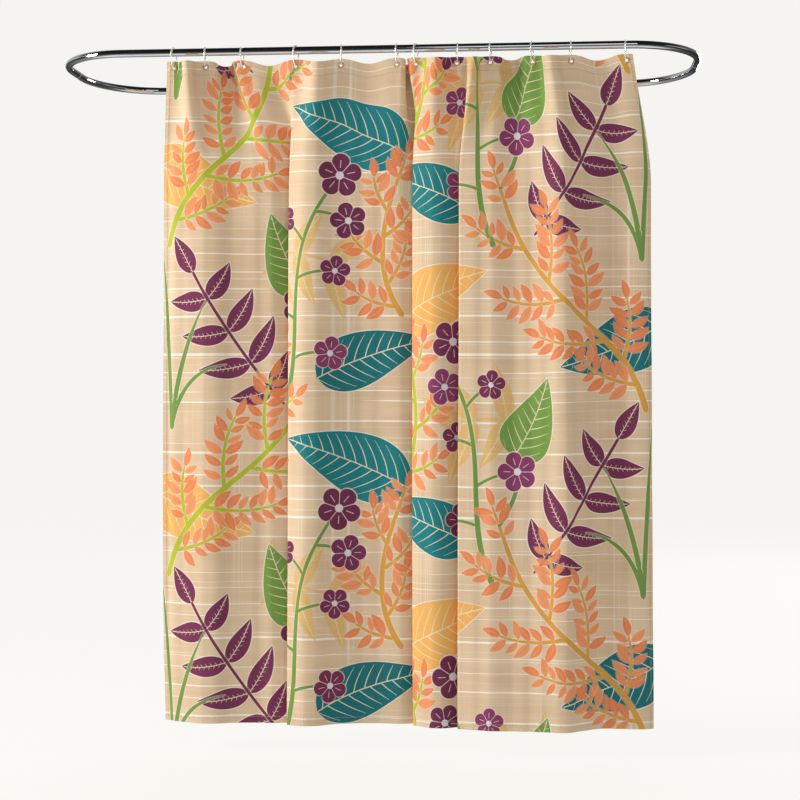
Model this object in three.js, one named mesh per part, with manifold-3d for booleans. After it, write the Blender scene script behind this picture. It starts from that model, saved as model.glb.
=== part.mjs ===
// A patterned cloth shower curtain, hung by twelve open wire rings from an oval hoop rail of chromed tube.
// Sizes are in millimetres. The origin is the centre of the rear tube run, where a stay holds the hoop up.
// +X runs along the rail to the right as seen from the front, +Y to the rear and +Z up.
import * as THREE from 'three';
import { mergeVertices } from 'three/addons/utils/BufferGeometryUtils.js';
import Module from 'manifold-3d';

const wasm = await Module();
wasm.setup();

// Gap between pieces that touch
const FIT_GAP = 0.3;

// Hoop rail, measured on the tube's centre line
const RAIL_LENGTH = 1860;
const RAIL_DEPTH = 600;
const STRAIGHT_RUN = 1440;
const JOINT_TAIL = 50;
const TUBE_DIAMETER = 22;
const TUBE_WALL = 1.5;
const TUBE_SIDES = 12;
const TUBE_STEPS = 40;

// Spigot and grub screws inside each butt joint of the hoop
const SPIGOT_LENGTH = 50;
const SPIGOT_WALL = 2.4;
const SPIGOT_CLEARANCE = 0.65;
const SCREW_DIAMETER = 4;
const SCREW_LENGTH = 4;
const SCREW_FROM_SEAM = 12;
const SCREW_SIDES = 10;

// Wire rings: outside height, radii of the wire's centre line, and the opening in the rear leg
const RING_WIRE = 3.5;
const RING_HEIGHT = 58;
const RING_TOP_RADIUS = 17;
const RING_BOTTOM_RADIUS = 11;
const RING_OPENING = 3;
const RING_WIRE_SIDES = 6;
const RING_STEPS = 24;

// Where the rings were left when the curtain was last drawn, and how far each is turned on the rail (degrees)
const FIRST_RING_X = -566;
const RING_GAPS = [90, 107, 154, 129, 158, 54, 116, 94, 116, 107, 153];
const RING_TURNS = [16, -5, 9, 20, -8, 6, 18, -10, 8, 12, -6, 4];

// Cloth as cut and hemmed, laid flat
const CLOTH_WIDTH = 1803;
const CLOTH_HEIGHT = 1880;
const CLOTH_THICKNESS = 0.8;
const HEADER_HEIGHT = 42;
const BOTTOM_HEM_HEIGHT = 20;
const SIDE_HEM_WIDTH = 12;

// Stitched eyelets
const EYELET_FROM_SIDE = 20;
const EYELET_FROM_TOP = 18;
const EYELET_HOLE_DIAMETER = 10;
const EYELET_DIAMETER = 18;
const EYELET_SLEEVE_WALL = 1;
const EYELET_FLANGE = 0.8;
const EYELET_SIDES = 12;
const RING_PLAY_IN_EYELET = 1.1;

// Drape: 1 folds to the front and -1 to the rear. The folds even out and spread towards the bottom
const FOLD_SIDES = [1, -1, -1, 1, -1, -1, 1, 1, -1, 1, -1];
const FLAT_AT_EYELET = 14;
const BOTTOM_EVENING = 0.6;
const BOTTOM_SPREAD = 1.05;
const BOTTOM_SHIFT = 18;
const FOLD_STEPS = 6;
const STEPS_PER_SWING = 6;
const BODY_ROWS = 3;

const railFrontY = -RAIL_DEPTH;
const tubeRadius = TUBE_DIAMETER / 2;
const boreRadius = tubeRadius - TUBE_WALL;
const spigotRadius = boreRadius - SPIGOT_CLEARANCE;
const wireRadius = RING_WIRE / 2;
const holeRadius = EYELET_HOLE_DIAMETER / 2;

// A ring hangs from the top of the tube, and the eyelet hangs in the bottom of the ring
const ringTopZ = tubeRadius + FIT_GAP + wireRadius;
const ringBottomZ = ringTopZ + RING_WIRE - RING_HEIGHT;
const eyeletZ = ringBottomZ + wireRadius + RING_PLAY_IN_EYELET - holeRadius;
const clothTopZ = eyeletZ + EYELET_FROM_TOP;
const eyeletCount = RING_GAPS.length + 1;
const eyeletPitch = (CLOTH_WIDTH - 2 * EYELET_FROM_SIDE) / RING_GAPS.length;

// The backing layers of the header and hems lie behind the cloth, a gap away
const backingOffset = -(CLOTH_THICKNESS + FIT_GAP);
const stackMiddle = backingOffset / 2;
const stackHalf = CLOTH_THICKNESS / 2 - stackMiddle;

const chrome = { color: 0xd9dadc, roughness: 0.08, metalness: 1 };
const zinc = { color: 0x9a9c9f, roughness: 0.35, metalness: 1 };
const steelTube = { color: 0x8d8f92, roughness: 0.4, metalness: 1 };
const cloth = { color: 0xdcb996, roughness: 0.85, metalness: 0 };
const backing = { color: 0xd6b48f, roughness: 0.88, metalness: 0 };
const thread = { color: 0xc9a077, roughness: 0.8, metalness: 0 };

const curtainOnRail = new THREE.Group();

function addPart(name, geometry, finish) {
  const mesh = new THREE.Mesh(geometry, new THREE.MeshStandardMaterial(finish));
  mesh.name = name;
  curtainOnRail.add(mesh);
  return mesh;
}

function toSolid(geometry) {
  const bare = geometry.clone();
  bare.deleteAttribute('normal');
  bare.deleteAttribute('uv');
  const welded = mergeVertices(bare);
  const vertProperties = new Float32Array(welded.attributes.position.array);
  const triVerts = new Uint32Array(welded.index.array);
  return new wasm.Manifold(new wasm.Mesh({ numProp: 3, vertProperties, triVerts }));
}

function fromSolid(solid) {
  const mesh = solid.getMesh();
  const geometry = new THREE.BufferGeometry();
  geometry.setAttribute('position', new THREE.BufferAttribute(mesh.vertProperties, 3));
  geometry.setIndex(new THREE.BufferAttribute(mesh.triVerts, 1));
  geometry.computeVertexNormals();
  return geometry;
}

function cutAway(geometry, cutters) {
  let solid = toSolid(geometry);
  for (const cutter of cutters) {
    solid = solid.subtract(toSolid(cutter));
  }
  return fromSolid(solid);
}

function circleShape(radius, sides) {
  const shape = new THREE.Shape();
  shape.setFromPoints(circlePoints(radius, sides));
  return shape;
}

function circlePoints(radius, sides) {
  const points = [];
  for (let i = 0; i < sides; i += 1) {
    const angle = (2 * Math.PI * i) / sides;
    points.push(new THREE.Vector2(radius * Math.cos(angle), radius * Math.sin(angle)));
  }
  return points;
}

// Centre line of half the hoop: a straight run, two elliptical corners and a straight tail at each joint.
// side is -1 for the front half and 1 for the rear half.
function halfHoopPath(side) {
  const cornerX = STRAIGHT_RUN / 2;
  const cornerRadiusX = RAIL_LENGTH / 2 - cornerX;
  const cornerRadiusY = RAIL_DEPTH / 2 - JOINT_TAIL;
  const seamY = -RAIL_DEPTH / 2;
  const outline = new THREE.Path();
  outline.moveTo(RAIL_LENGTH / 2, FIT_GAP / 2);
  outline.lineTo(RAIL_LENGTH / 2, JOINT_TAIL);
  outline.absellipse(cornerX, JOINT_TAIL, cornerRadiusX, cornerRadiusY, 0, Math.PI / 2, false, 0);
  outline.lineTo(-cornerX, RAIL_DEPTH / 2);
  outline.absellipse(-cornerX, JOINT_TAIL, cornerRadiusX, cornerRadiusY, Math.PI / 2, Math.PI, false, 0);
  outline.lineTo(-RAIL_LENGTH / 2, FIT_GAP / 2);
  const bends = outline.getSpacedPoints(4 * TUBE_STEPS);
  const points = bends.map((p) => new THREE.Vector3(p.x, seamY + side * p.y, 0));
  return new THREE.CatmullRomCurve3(points);
}

function screwHole(x, y) {
  const drill = new THREE.CylinderGeometry(
    SCREW_DIAMETER / 2 + FIT_GAP, SCREW_DIAMETER / 2 + FIT_GAP, tubeRadius, SCREW_SIDES);
  drill.rotateX(Math.PI / 2);
  drill.translate(x, y, -tubeRadius);
  return drill;
}

function screwY(side) {
  return -RAIL_DEPTH / 2 + side * SCREW_FROM_SEAM;
}

function railHalf(name, side) {
  const section = circleShape(tubeRadius, TUBE_SIDES);
  section.holes.push(new THREE.Path(circlePoints(boreRadius, TUBE_SIDES)));
  const tube = new THREE.ExtrudeGeometry(section, {
    steps: TUBE_STEPS,
    extrudePath: halfHoopPath(side),
  });
  const holes = [-1, 1].map((end) => screwHole((end * RAIL_LENGTH) / 2, screwY(side)));
  return addPart(name, cutAway(tube, holes), chrome);
}

// A short length of thick tube that bridges one butt joint, drilled for the two grub screws
function spigot(name, end) {
  const half = SPIGOT_LENGTH / 2;
  const inner = spigotRadius - SPIGOT_WALL;
  const profile = [
    new THREE.Vector2(inner, -half),
    new THREE.Vector2(spigotRadius, -half),
    new THREE.Vector2(spigotRadius, half),
    new THREE.Vector2(inner, half),
    new THREE.Vector2(inner, -half),
  ];
  const sleeve = new THREE.LatheGeometry(profile, TUBE_SIDES);
  const x = (end * RAIL_LENGTH) / 2;
  sleeve.translate(x, -RAIL_DEPTH / 2, 0);
  return addPart(name, cutAway(sleeve, [screwHole(x, screwY(-1)), screwHole(x, screwY(1))]), steelTube);
}

function grubScrew(name, end, side) {
  const screw = new THREE.CylinderGeometry(
    SCREW_DIAMETER / 2, SCREW_DIAMETER / 2, SCREW_LENGTH, SCREW_SIDES);
  screw.rotateX(Math.PI / 2);
  const mesh = addPart(name, screw, zinc);
  const flatToFlat = tubeRadius * Math.cos(Math.PI / TUBE_SIDES);
  mesh.position.set((end * RAIL_LENGTH) / 2, screwY(side), SCREW_LENGTH / 2 - flatToFlat);
  return mesh;
}

// The wire of one ring, in its own plane: up and down is Z, and the opening is in the rear leg.
// Two arcs of different radius are joined by the two straight legs that touch both.
function ringPath() {
  const topCentre = ringTopZ - RING_TOP_RADIUS;
  const bottomCentre = ringBottomZ + RING_BOTTOM_RADIUS;
  const lean = -Math.asin((RING_TOP_RADIUS - RING_BOTTOM_RADIUS) / (topCentre - bottomCentre));
  const legTop = new THREE.Vector2(
    RING_TOP_RADIUS * Math.cos(lean), topCentre + RING_TOP_RADIUS * Math.sin(lean));
  const legBottom = new THREE.Vector2(
    RING_BOTTOM_RADIUS * Math.cos(lean), bottomCentre + RING_BOTTOM_RADIUS * Math.sin(lean));
  const openingShare = RING_OPENING / 2 / legTop.distanceTo(legBottom);
  const lowerEnd = legBottom.clone().lerp(legTop, 0.5 - openingShare);
  const upperEnd = legBottom.clone().lerp(legTop, 0.5 + openingShare);
  const outline = new THREE.Path();
  outline.moveTo(lowerEnd.x, lowerEnd.y);
  outline.absarc(0, bottomCentre, RING_BOTTOM_RADIUS, lean, -Math.PI - lean, true);
  outline.absarc(0, topCentre, RING_TOP_RADIUS, Math.PI - lean, lean, true);
  outline.lineTo(upperEnd.x, upperEnd.y);
  const bends = outline.getSpacedPoints(2 * RING_STEPS);
  return new THREE.CatmullRomCurve3(bends.map((p) => new THREE.Vector3(0, p.x, p.y)));
}

function ring(name, x, turn) {
  const wire = new THREE.ExtrudeGeometry(circleShape(wireRadius, RING_WIRE_SIDES), {
    steps: RING_STEPS,
    extrudePath: ringPath(),
  });
  const mesh = addPart(name, wire, chrome);
  mesh.position.set(x, railFrontY, 0);
  mesh.rotation.z = -THREE.MathUtils.degToRad(turn);
  return mesh;
}

// How far the cloth swings off the rail's direction in a fold (radians), so that a length of cloth ends
// up with its ends a chord apart. The direction along a fold is swing * sin(one full wave).
function foldSwing(chord, length) {
  const waveSteps = 64;
  let low = 0;
  let high = 2.4;
  for (let pass = 0; pass < 40; pass += 1) {
    const swing = (low + high) / 2;
    let reach = 0;
    for (let i = 0; i < waveSteps; i += 1) {
      reach += Math.cos(swing * Math.sin((2 * Math.PI * (i + 0.5)) / waveSteps)) / waveSteps;
    }
    if (reach * length > chord) {
      low = swing;
    } else {
      high = swing;
    }
  }
  return (low + high) / 2;
}

function foldSwings(gaps, flat) {
  return gaps.map((gap) => foldSwing(gap - 2 * flat, eyeletPitch - 2 * flat));
}

// The line that the cloth follows across its width, walked in small steps of cloth: where each step is,
// and its direction. flat is the cloth that lies straight on each side of an eyelet.
function sectionLine(firstX, gaps, flat) {
  const stepLength = 1;
  const foldLength = eyeletPitch - 2 * flat;
  const swings = foldSwings(gaps, flat).map((swing, i) => -FOLD_SIDES[i] * swing);
  const line = [];
  let x = firstX - EYELET_FROM_SIDE;
  let y = 0;
  for (let s = 0; s <= CLOTH_WIDTH; s += stepLength) {
    const middle = s + stepLength / 2 - EYELET_FROM_SIDE;
    const gap = Math.floor(middle / eyeletPitch);
    const along = middle - gap * eyeletPitch - flat;
    const folded = gap >= 0 && gap < gaps.length && along > 0 && along < foldLength;
    const angle = folded ? swings[gap] * Math.sin((2 * Math.PI * along) / foldLength) : 0;
    line.push({ x, y, angle });
    x += Math.cos(angle) * stepLength;
    y += Math.sin(angle) * stepLength;
  }
  line.push({ x, y, angle: 0 });
  return line;
}

function pointOn(line, s) {
  const index = Math.min(Math.max(Math.floor(s), 0), line.length - 2);
  const share = s - index;
  const from = line[index];
  const to = line[index + 1];
  return {
    x: THREE.MathUtils.lerp(from.x, to.x, share),
    y: THREE.MathUtils.lerp(from.y, to.y, share),
    angle: THREE.MathUtils.lerp(from.angle, to.angle, share),
  };
}

function sum(values) {
  return values.reduce((total, value) => total + value, 0);
}

const topSpan = sum(RING_GAPS);
const evenGap = topSpan / RING_GAPS.length;
const bottomGaps = RING_GAPS.map(
  (gap) => BOTTOM_SPREAD * THREE.MathUtils.lerp(gap, evenGap, BOTTOM_EVENING));
const firstBottomX = FIRST_RING_X + topSpan / 2 - sum(bottomGaps) / 2 + BOTTOM_SHIFT;
const topLine = sectionLine(FIRST_RING_X, RING_GAPS, FLAT_AT_EYELET);
const bottomLine = sectionLine(firstBottomX, bottomGaps, 0);

// Hangs a point of the flat cloth: across from the left edge, down from the top edge, and forward of it
function hang(across, down, forward) {
  const body = CLOTH_HEIGHT - HEADER_HEIGHT - BOTTOM_HEM_HEIGHT;
  const share = THREE.MathUtils.clamp((down - HEADER_HEIGHT) / body, 0, 1);
  const top = pointOn(topLine, across);
  const bottom = pointOn(bottomLine, across);
  const alongX = THREE.MathUtils.lerp(Math.cos(top.angle), Math.cos(bottom.angle), share);
  const alongY = THREE.MathUtils.lerp(Math.sin(top.angle), Math.sin(bottom.angle), share);
  const size = Math.hypot(alongX, alongY);
  return new THREE.Vector3(
    THREE.MathUtils.lerp(top.x, bottom.x, share) + (forward * alongY) / size,
    railFrontY + THREE.MathUtils.lerp(top.y, bottom.y, share) - (forward * alongX) / size,
    clothTopZ - down);
}

// A layer of cloth with its edges at the given columns (across) and rows (down), hung in folds
function hungSheet(columns, rows, middle) {
  const sheet = new THREE.BoxGeometry(1, 1, CLOTH_THICKNESS, columns.length - 1, rows.length - 1, 1);
  const position = sheet.attributes.position;
  for (let i = 0; i < position.count; i += 1) {
    const column = Math.round((position.getX(i) + 0.5) * (columns.length - 1));
    const row = Math.round((0.5 - position.getY(i)) * (rows.length - 1));
    const point = hang(columns[column], rows[row], middle + position.getZ(i));
    position.setXYZ(i, point.x, point.y, point.z);
  }
  // A box's back cells are split along the other diagonal than its front cells. Split the same way, a
  // cell that twists down the cloth stays as thick in its middle as at its corners.
  const back = sheet.groups[5];
  for (let i = back.start; i < back.start + back.count; i += 6) {
    const [a, b, , , c, d] = sheet.index.array.slice(i, i + 6);
    sheet.index.array.set([a, b, c, a, c, d], i);
  }
  return sheet;
}

// Columns across the whole cloth: its edges, its side hems, each eyelet and the flat cloth beside it, and
// steps round each fold, more of them where the fold is deep
function clothColumns() {
  const columns = [];
  const foldLength = eyeletPitch - 2 * FLAT_AT_EYELET;
  const swings = [...foldSwings(RING_GAPS, FLAT_AT_EYELET), 0];
  swings.forEach((swing, i) => {
    const eyelet = EYELET_FROM_SIDE + i * eyeletPitch;
    const steps = Math.max(FOLD_STEPS, Math.ceil(swing * STEPS_PER_SWING));
    columns.push(eyelet - FLAT_AT_EYELET, eyelet);
    for (let step = 0; step < steps; step += 1) {
      columns.push(eyelet + FLAT_AT_EYELET + (step * foldLength) / steps);
    }
  });
  const lastColumn = CLOTH_WIDTH - SIDE_HEM_WIDTH;
  const inside = columns.filter((column) => column > SIDE_HEM_WIDTH + 1 && column < lastColumn - 1);
  return [0, SIDE_HEM_WIDTH, ...inside, lastColumn, CLOTH_WIDTH];
}

function bodyRows(first, last) {
  const rows = [];
  for (let i = 0; i <= BODY_ROWS; i += 1) {
    rows.push(THREE.MathUtils.lerp(first, last, i / BODY_ROWS));
  }
  return rows;
}

function eyeletPlaces() {
  const places = [];
  for (let i = 0; i < eyeletCount; i += 1) {
    places.push(hang(EYELET_FROM_SIDE + i * eyeletPitch, EYELET_FROM_TOP, stackMiddle));
  }
  return places;
}

function eyeletHoles() {
  const cutRadius = holeRadius + EYELET_SLEEVE_WALL + FIT_GAP;
  return eyeletPlaces().map((place) => {
    const punch = new THREE.CylinderGeometry(cutRadius, cutRadius, 8 * stackHalf, EYELET_SIDES);
    punch.translate(place.x, place.y, place.z);
    return punch;
  });
}

function curtainPanel() {
  const bottomHemTop = CLOTH_HEIGHT - BOTTOM_HEM_HEIGHT;
  const rows = [0, ...bodyRows(HEADER_HEIGHT, bottomHemTop), CLOTH_HEIGHT];
  return addPart('curtain_panel', cutAway(hungSheet(clothColumns(), rows, 0), eyeletHoles()), cloth);
}

function headerBand() {
  const band = hungSheet(clothColumns(), [0, HEADER_HEIGHT - FIT_GAP], backingOffset);
  return addPart('header_band', cutAway(band, eyeletHoles()), backing);
}

function bottomHem() {
  const rows = [CLOTH_HEIGHT - BOTTOM_HEM_HEIGHT + FIT_GAP, CLOTH_HEIGHT];
  return addPart('bottom_hem', hungSheet(clothColumns(), rows, backingOffset), backing);
}

function sideHem(name, from, to) {
  const rows = bodyRows(HEADER_HEIGHT, CLOTH_HEIGHT - BOTTOM_HEM_HEIGHT);
  return addPart(name, hungSheet([from, to], rows, backingOffset), backing);
}

// A ring of close stitching that grips both layers of the header round one hole
function eyelet(name, place) {
  const sleeveRadius = holeRadius + EYELET_SLEEVE_WALL;
  const outer = EYELET_DIAMETER / 2;
  const gripHalf = stackHalf + FIT_GAP;
  const faceHalf = gripHalf + EYELET_FLANGE;
  const profile = [
    new THREE.Vector2(holeRadius, -faceHalf),
    new THREE.Vector2(outer, -faceHalf),
    new THREE.Vector2(outer, -gripHalf),
    new THREE.Vector2(sleeveRadius, -gripHalf),
    new THREE.Vector2(sleeveRadius, gripHalf),
    new THREE.Vector2(outer, gripHalf),
    new THREE.Vector2(outer, faceHalf),
    new THREE.Vector2(holeRadius, faceHalf),
    new THREE.Vector2(holeRadius, -faceHalf),
  ];
  const mesh = addPart(name, new THREE.LatheGeometry(profile, EYELET_SIDES), thread);
  mesh.position.copy(place);
  return mesh;
}

railHalf('rail_front_half', -1);
railHalf('rail_rear_half', 1);
spigot('rail_spigot_left', -1);
spigot('rail_spigot_right', 1);
grubScrew('grub_screw_left_front', -1, -1);
grubScrew('grub_screw_left_rear', -1, 1);
grubScrew('grub_screw_right_front', 1, -1);
grubScrew('grub_screw_right_rear', 1, 1);

eyeletPlaces().forEach((place, i) => {
  const number = String(i + 1).padStart(2, '0');
  ring(`ring_${number}`, place.x, RING_TURNS[i]);
  eyelet(`eyelet_${number}`, place);
});

curtainPanel();
headerBand();
bottomHem();
sideHem('side_hem_left', 0, SIDE_HEM_WIDTH);
sideHem('side_hem_right', CLOTH_WIDTH - SIDE_HEM_WIDTH, CLOTH_WIDTH);

export default curtainOnRail;
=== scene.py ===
import math

import bpy
import numpy as np
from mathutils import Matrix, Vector


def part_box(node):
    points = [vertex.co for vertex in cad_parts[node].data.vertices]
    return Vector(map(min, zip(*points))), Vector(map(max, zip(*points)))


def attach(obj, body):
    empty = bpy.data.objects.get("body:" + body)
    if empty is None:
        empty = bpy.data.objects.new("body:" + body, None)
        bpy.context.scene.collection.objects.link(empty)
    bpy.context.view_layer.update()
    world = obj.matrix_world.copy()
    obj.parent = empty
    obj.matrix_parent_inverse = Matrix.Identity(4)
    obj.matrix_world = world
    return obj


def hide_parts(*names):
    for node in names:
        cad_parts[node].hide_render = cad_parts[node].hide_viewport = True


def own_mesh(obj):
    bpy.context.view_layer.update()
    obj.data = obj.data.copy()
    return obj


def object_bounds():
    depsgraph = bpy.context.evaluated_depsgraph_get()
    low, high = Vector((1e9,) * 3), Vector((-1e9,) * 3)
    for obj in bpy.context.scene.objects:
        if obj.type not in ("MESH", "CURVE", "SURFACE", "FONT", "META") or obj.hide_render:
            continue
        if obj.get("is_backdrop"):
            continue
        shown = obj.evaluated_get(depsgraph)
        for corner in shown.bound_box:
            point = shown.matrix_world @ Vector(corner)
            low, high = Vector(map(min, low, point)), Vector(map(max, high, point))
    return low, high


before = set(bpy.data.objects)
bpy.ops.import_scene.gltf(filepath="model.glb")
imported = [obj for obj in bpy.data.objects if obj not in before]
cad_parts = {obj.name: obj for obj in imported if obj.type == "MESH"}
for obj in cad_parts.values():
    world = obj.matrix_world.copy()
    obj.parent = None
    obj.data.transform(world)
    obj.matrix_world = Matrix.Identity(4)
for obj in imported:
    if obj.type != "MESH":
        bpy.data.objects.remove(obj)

cad_low, cad_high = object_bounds()

# Camera: a little to the right of the curtain's middle and half way up it, at standing distance, looking
# level and slightly to the left. The hoop is seen from below, so its rear run shows under its front run.
hoop_low, hoop_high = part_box("rail_front_half")
tube_radius = (hoop_high[2] - hoop_low[2]) / 2
hoop_middle_y = hoop_high[1]
camera_data = bpy.data.cameras.new("studio_camera")
camera_data.sensor_width = 36
camera_data.lens = 77.6
camera_data.clip_end = 60
camera = bpy.data.objects.new("studio_camera", camera_data)
camera.location = (0.509, hoop_middle_y - 5.140, -0.990)
camera.rotation_euler = (math.radians(90), 0, math.radians(5.05))
bpy.context.scene.collection.objects.link(camera)
bpy.context.scene.camera = camera


# Studio: a pale floor that rises all round into a bowl, so that no horizon shows from any side. It takes
# shadows but throws none, and the even light of the room passes through it.
def link(name, mesh, *materials):
    piece = bpy.data.objects.new(name, mesh)
    bpy.context.scene.collection.objects.link(piece)
    for material in materials:
        mesh.materials.append(material)
    return piece


def mesh_of(name, points, faces):
    mesh = bpy.data.meshes.new(name)
    mesh.from_pydata([tuple(p) for p in points], [], [tuple(int(i) for i in f) for f in faces])
    mesh.polygons.foreach_set("use_smooth", np.full(len(mesh.polygons), True))
    mesh.update()
    return mesh


def grid_faces(rows, columns, closed=False):
    """Faces between the rings of a grid of points, row by row; closed joins each row's end to its start."""
    faces = []
    for r in range(rows - 1):
        for c in range(columns if closed else columns - 1):
            n = (c + 1) % columns
            faces.append((r * columns + c, r * columns + n, (r + 1) * columns + n, (r + 1) * columns + c))
    return faces


floor_height = cad_low[2] - 0.08
flat_radius, rise_radius, wall_top = 6.5, 3.5, 9.0
rise_steps, bowl_sides = 12, 64
bowl_profile = [(0.0, 0.0), (3.0, 0.0), (flat_radius, 0.0)]
for step in range(1, rise_steps + 1):
    angle = math.radians(90 * step / rise_steps)
    bowl_profile.append((flat_radius + rise_radius * math.sin(angle), rise_radius * (1 - math.cos(angle))))
bowl_profile.append((flat_radius + rise_radius, wall_top))
bowl_points = []
for radius, height in bowl_profile:
    for side in range(bowl_sides):
        turn = 2 * math.pi * side / bowl_sides
        bowl_points.append((radius * math.cos(turn), radius * math.sin(turn), floor_height + height))
bowl_faces = grid_faces(len(bowl_profile), bowl_sides, closed=True)
studio = link("studio_floor", mesh_of("studio_floor", bowl_points, bowl_faces))
studio.visible_diffuse = False
studio.visible_glossy = False
studio.visible_shadow = False
studio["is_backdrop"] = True


def feed(tree, socket, value):
    """Sets a socket to a plain number, vector or colour, or links another socket to it."""
    if isinstance(value, (int, float)):
        socket.default_value = value
    elif isinstance(value, (tuple, list)):
        socket.default_value = (*value, 1) if socket.type == "RGBA" else value
    else:
        tree.links.new(value, socket)


def join(tree, operation, *values):
    """A Math node on plain numbers or sockets."""
    node = tree.nodes.new("ShaderNodeMath")
    node.operation = operation
    for socket, value in zip(node.inputs, values):
        feed(tree, socket, value)
    return node.outputs[0]


def times(tree, first, second):
    return join(tree, "MULTIPLY", first, second)


def apart(tree, first, second):
    """How far one value is from another."""
    return join(tree, "ABSOLUTE", join(tree, "SUBTRACT", first, second))


def ramp(tree, value, low, high):
    """0 at low and 1 at high, with a soft rise between."""
    node = tree.nodes.new("ShaderNodeMapRange")
    node.interpolation_type = "SMOOTHSTEP"
    upward = low < high
    node.inputs["From Min"].default_value = low if upward else high
    node.inputs["From Max"].default_value = high if upward else low
    node.inputs["To Min"].default_value = 0.0 if upward else 1.0
    node.inputs["To Max"].default_value = 1.0 if upward else 0.0
    tree.links.new(value, node.inputs["Value"])
    return node.outputs["Result"]


def mix(tree, share, under, over):
    """One colour over another by a share."""
    node = tree.nodes.new("ShaderNodeMix")
    node.data_type = "RGBA"
    for socket, value in ((0, share), (6, under), (7, over)):
        feed(tree, node.inputs[socket], value)
    return node.outputs[2]


def noise(tree, place, scale, detail=2.0):
    node = tree.nodes.new("ShaderNodeTexNoise")
    node.inputs["Scale"].default_value = scale
    node.inputs["Detail"].default_value = detail
    tree.links.new(place, node.inputs["Vector"])
    return node.outputs["Fac"]


def line_noise(tree, along, scale, detail=1.0):
    """Noise that changes along one measure only."""
    node = tree.nodes.new("ShaderNodeTexNoise")
    node.noise_dimensions = "1D"
    node.inputs["Scale"].default_value = scale
    node.inputs["Detail"].default_value = detail
    tree.links.new(along, node.inputs["W"])
    return node.outputs["Fac"]


def parts_of(tree, vector):
    node = tree.nodes.new("ShaderNodeSeparateXYZ")
    tree.links.new(vector, node.inputs[0])
    return node.outputs


def new_finish(name, **plain):
    """A material, its tree and its shader with plain values; an underscore in a word here is a space."""
    material = bpy.data.materials.new(name)
    material.use_nodes = True
    tree = material.node_tree
    shader = tree.nodes["Principled BSDF"]
    for label, value in plain.items():
        feed(tree, shader.inputs[label.replace("_", " ")], value)
    return material, tree, shader


floor_paint, tree, floor_shader = new_finish(
    "pale_studio_floor", Roughness=0.9, Emission_Color=(1.0, 0.992, 0.957), Emission_Strength=0.868)
trowel_marks = noise(tree, tree.nodes.new("ShaderNodeTexCoord").outputs["Object"], 0.6, 3.0)
floor_colour = mix(tree, trowel_marks, (0.050, 0.050, 0.049), (0.058, 0.0575, 0.056))
tree.links.new(floor_colour, floor_shader.inputs["Base Color"])
studio.data.materials.append(floor_paint)

# Three softboxes: the main one at the left, about as high as the rail, one behind at the right, and a
# weak one in front
for name, place, target, size, power, colour in (
        ("key_softbox", (-4.6, -2.1, 0.1), (0, -0.6, -1.0), (1.4, 2.6), 205, (1.0, 0.985, 0.965)),
        ("rear_softbox", (3.2, 5.6, 0.8), (0, 0, -0.9), (2.5, 2.5), 110, (1.0, 0.99, 0.97)),
        ("fill_softbox", (1.0, -5.5, 1.0), (0, -0.6, -0.9), (2.5, 2.5), 16, (0.97, 0.98, 1.0))):
    data = bpy.data.lights.new(name, "AREA")
    data.shape = "RECTANGLE"
    data.size, data.size_y = size
    data.energy = power
    data.color = colour
    lamp = bpy.data.objects.new(name, data)
    lamp.location = place
    lamp.rotation_euler = (Vector(target) - Vector(place)).to_track_quat("-Z", "Y").to_euler()
    bpy.context.scene.collection.objects.link(lamp)

# The room itself: even white light for cloth, and for polished metal a dark room with a pale floor, light
# bands across the wall behind and a low white strip at both sides. They make chrome look like chrome.
world = bpy.data.worlds.new("studio_room")
world.use_nodes = True
bpy.context.scene.world = world
room = world.node_tree
room.nodes.clear()


def by_height(height, stops):
    """A brightness that changes with height, from -1 straight down to 1 straight up."""
    shift = join(room, "MULTIPLY_ADD", height, 0.5, 0.5)
    node = room.nodes.new("ShaderNodeValToRGB")
    room.links.new(shift, node.inputs["Fac"])
    elements = node.color_ramp.elements
    elements[0].position, elements[0].color = 0.0, (*[stops[0][1]] * 3, 1)
    elements[1].position, elements[1].color = 1.0, (*[stops[-1][1]] * 3, 1)
    for position, value in stops[1:-1]:
        elements.new(0.5 + 0.5 * position).color = (value, value, value, 1)
    return node.outputs["Color"]


side, toward_rear, height = parts_of(room, room.nodes.new("ShaderNodeTexCoord").outputs["Generated"])
dark_front = by_height(height, (
    (-1, 0.50), (-0.90, 0.85), (-0.76, 0.70), (-0.68, 0.16), (-0.52, 0.30), (-0.42, 0.05), (-0.03, 0.02),
    (1, 0.006)))
rear_wall = by_height(height, (
    (-1, 0.40), (-0.30, 0.12), (-0.10, 0.03), (0.02, 0.02), (0.06, 0.75), (0.10, 0.02), (0.15, 0.10),
    (0.19, 0.55), (1, 0.03)))
wall_share = join(room, "MULTIPLY_ADD", ramp(room, side, 0.25, -0.25), 0.75, 0.25)
rear_wall = mix(room, wall_share, (0.012, 0.012, 0.012), rear_wall)
strip = times(room, ramp(room, height, 0.10, 0.15), ramp(room, height, 0.28, 0.23))
strip = times(room, ramp(room, join(room, "ABSOLUTE", side), 0.88, 0.95), strip)
reflected = mix(room, ramp(room, toward_rear, 0.05, 0.45), dark_front, rear_wall)
reflected = mix(room, times(room, strip, 0.6), reflected, (1.0, 1.0, 1.0))
even_light = room.nodes.new("ShaderNodeBackground")
even_light.inputs["Color"].default_value = (1.0, 0.995, 0.98, 1)
even_light.inputs["Strength"].default_value = 0.64
mirrored = room.nodes.new("ShaderNodeBackground")
choose = room.nodes.new("ShaderNodeMixShader")
room_out = room.nodes.new("ShaderNodeOutputWorld")
room.links.new(reflected, mirrored.inputs["Color"])
room.links.new(room.nodes.new("ShaderNodeLightPath").outputs["Is Glossy Ray"], choose.inputs["Fac"])
room.links.new(even_light.outputs[0], choose.inputs[1])
room.links.new(mirrored.outputs[0], choose.inputs[2])
room.links.new(choose.outputs[0], room_out.inputs["Surface"])
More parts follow.
